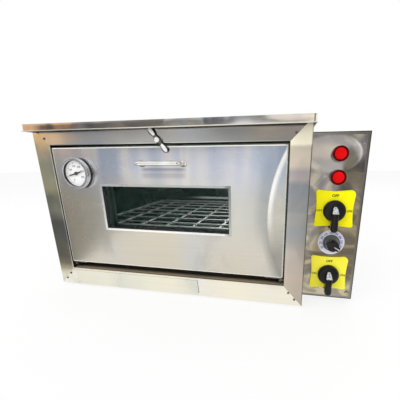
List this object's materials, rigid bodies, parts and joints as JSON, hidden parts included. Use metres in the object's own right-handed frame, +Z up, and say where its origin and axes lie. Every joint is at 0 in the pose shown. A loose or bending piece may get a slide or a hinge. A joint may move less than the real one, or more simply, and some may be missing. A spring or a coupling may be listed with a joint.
{
  "type": "electric pizza oven",
  "caption": "Countertop electric pizza oven in stainless steel with a drop-down glazed door, dial thermometer, turn latch and a side control box with switches and thermostat.",
  "frame": {"origin": "centre of the whole part's footprint box, on the table under the feet", "axes": "+X to the right seen from the front, +Y from the door to the back, +Z up"},
  "size_m": [0.603, 0.476, 0.3252],
  "materials": {
    "polished_steel": "polished",
    "plain_steel": "satin",
    "heat_stained_steel": "satin",
    "element_sheath": "satin",
    "rack_wire": "satin",
    "mineral_wool": "matte",
    "black_rubber": "matte",
    "window_glass": "polished",
    "clear_glass": "polished",
    "chrome": "polished",
    "white_dial": "satin",
    "black_paint": "satin",
    "brass": "satin",
    "black_plastic": "gloss",
    "red_lens": "gloss",
    "yellow_plastic": "gloss",
    "scale_aluminium": "satin",
    "copper": "satin",
    "white_ceramic": "matte",
    "wire_covering": "matte"
  },
  "bodies": {
    "oven": {"frame_left_stile": "polished_steel", "frame_right_stile": "polished_steel", "frame_top_rail": "polished_steel", "frame_bottom_rail": "polished_steel", "top_cover": "polished_steel", "left_side_panel": "polished_steel", "right_side_panel": "polished_steel", "base_pan": "polished_steel", "back_panel": "polished_steel", "control_panel": "polished_steel", "control_box_shell": "polished_steel", "control_box_back": "polished_steel", "rack_runners": "plain_steel", "element_brackets": "plain_steel", "hinge_pins": "plain_steel", "hinge_plates": "plain_steel", "frame_rivets": "plain_steel", "back_screws": "plain_steel", "panel_screws": "plain_steel", "latch_pivot": "plain_steel", "thermostat_body": "plain_steel", "chamber_liner": "heat_stained_steel", "upper_element": "element_sheath", "lower_element": "element_sheath", "chamber_wool": "mineral_wool", "rubber_feet": "black_rubber", "upper_lamp_housing": "red_lens", "lower_lamp_housing": "red_lens", "upper_lamp_lens": "red_lens", "lower_lamp_lens": "red_lens", "upper_switch_plate": "yellow_plastic", "lower_switch_plate": "yellow_plastic", "upper_switch_body": "black_plastic", "lower_switch_body": "black_plastic", "thermostat_scale": "scale_aluminium", "thermostat_capillary": "copper", "terminal_block": "white_ceramic", "cable_gland": "black_plastic", "wiring": "wire_covering"},
    "door": {"door_skin": "polished_steel", "door_liner": "plain_steel", "door_wool": "mineral_wool", "window_bezel": "polished_steel", "outer_glass": "window_glass", "inner_glass": "window_glass", "window_sleeve": "plain_steel", "door_handle": "chrome", "handle_screws": "plain_steel", "door_hinge_ears": "plain_steel", "thermometer_case": "chrome", "thermometer_bezel": "chrome", "thermometer_dial": "white_dial", "thermometer_lens": "clear_glass", "thermometer_nut": "brass"},
    "needle": {"thermometer_needle": "black_paint"},
    "latch": {"turn_latch": "chrome"},
    "rack": {"wire_rack": "rack_wire"},
    "upper_switch": {"upper_switch_handle": "black_plastic"},
    "lower_switch": {"lower_switch_handle": "black_plastic"},
    "thermostat": {"thermostat_knob": "black_plastic"}
  },
  "joints": [
    {"name": "door_hinge", "type": "hinge", "parent": "oven", "child": "door", "pos_m": [-0.0435, -0.204, 0.0499], "axis": [1, 0, 0], "range_deg": [0, 90]},
    {"name": "needle_swing", "type": "hinge", "parent": "door", "child": "needle", "pos_m": [-0.21, -0.215, 0.2385], "axis": [0, 1, 0], "range_deg": [-29, 241]},
    {"name": "latch_turn", "type": "hinge", "parent": "oven", "child": "latch", "pos_m": [-0.042, -0.215, 0.2945], "axis": [0, 1, 0], "continuous": true},
    {"name": "rack_slide", "type": "slide", "parent": "oven", "child": "rack", "axis": [0, -1, 0], "range_m": [0, 0.016]},
    {"name": "upper_switch_turn", "type": "hinge", "parent": "oven", "child": "upper_switch", "pos_m": [0.2565, -0.192, 0.177], "axis": [0, 1, 0], "range_deg": [-90, 90]},
    {"name": "lower_switch_turn", "type": "hinge", "parent": "oven", "child": "lower_switch", "pos_m": [0.2565, -0.192, 0.059], "axis": [0, 1, 0], "range_deg": [-90, 90]},
    {"name": "thermostat_turn", "type": "hinge", "parent": "oven", "child": "thermostat", "pos_m": [0.2565, -0.192, 0.12], "axis": [0, 1, 0], "range_deg": [0, 270]}
  ]
}
